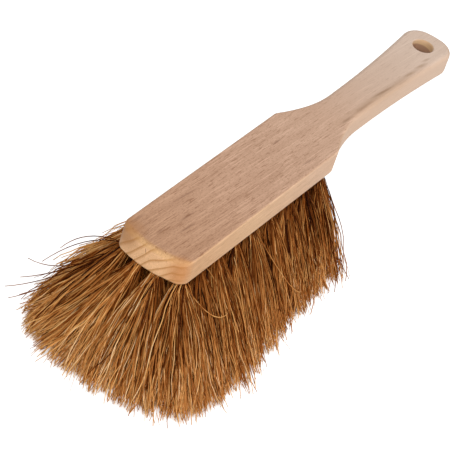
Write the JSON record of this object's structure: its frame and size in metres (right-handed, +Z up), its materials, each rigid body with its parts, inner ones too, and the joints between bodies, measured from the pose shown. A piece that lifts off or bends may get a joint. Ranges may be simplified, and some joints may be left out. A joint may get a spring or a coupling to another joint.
{
  "type": "hand broom",
  "caption": "Hand broom with a waisted one-piece wooden stock, a hanging hole in the handle and splayed coir tufts.",
  "frame": {"origin": "below the middle of the broom's bounding box, in the plane of the trimmed bristle tips", "axes": "+X from the block to the handle's end, +Z up through the stock, bristles down"},
  "size_m": [0.3398, 0.1268, 0.068],
  "materials": {
    "beech": "raw planed and sanded beech",
    "coir": "raw coconut fibre",
    "anchor_wire": "drawn flat steel wire"
  },
  "bodies": {
    "root": {"beech_stock": "beech", "tuft_left_outer_1": "coir", "tuft_left_outer_2": "coir", "tuft_left_outer_3": "coir", "tuft_left_outer_4": "coir", "tuft_left_outer_5": "coir", "tuft_left_outer_6": "coir", "tuft_left_outer_7": "coir", "tuft_left_outer_8": "coir", "tuft_left_outer_9": "coir", "tuft_left_inner_1": "coir", "tuft_left_inner_2": "coir", "tuft_left_inner_3": "coir", "tuft_left_inner_4": "coir", "tuft_left_inner_5": "coir", "tuft_left_inner_6": "coir", "tuft_left_inner_7": "coir", "tuft_left_inner_8": "coir", "tuft_left_inner_9": "coir", "tuft_right_inner_1": "coir", "tuft_right_inner_2": "coir", "tuft_right_inner_3": "coir", "tuft_right_inner_4": "coir", "tuft_right_inner_5": "coir", "tuft_right_inner_6": "coir", "tuft_right_inner_7": "coir", "tuft_right_inner_8": "coir", "tuft_right_inner_9": "coir", "tuft_right_outer_1": "coir", "tuft_right_outer_2": "coir", "tuft_right_outer_3": "coir", "tuft_right_outer_4": "coir", "tuft_right_outer_5": "coir", "tuft_right_outer_6": "coir", "tuft_right_outer_7": "coir", "tuft_right_outer_8": "coir", "tuft_right_outer_9": "coir", "wire_anchors": "anchor_wire"}
  },
  "joints": []
}
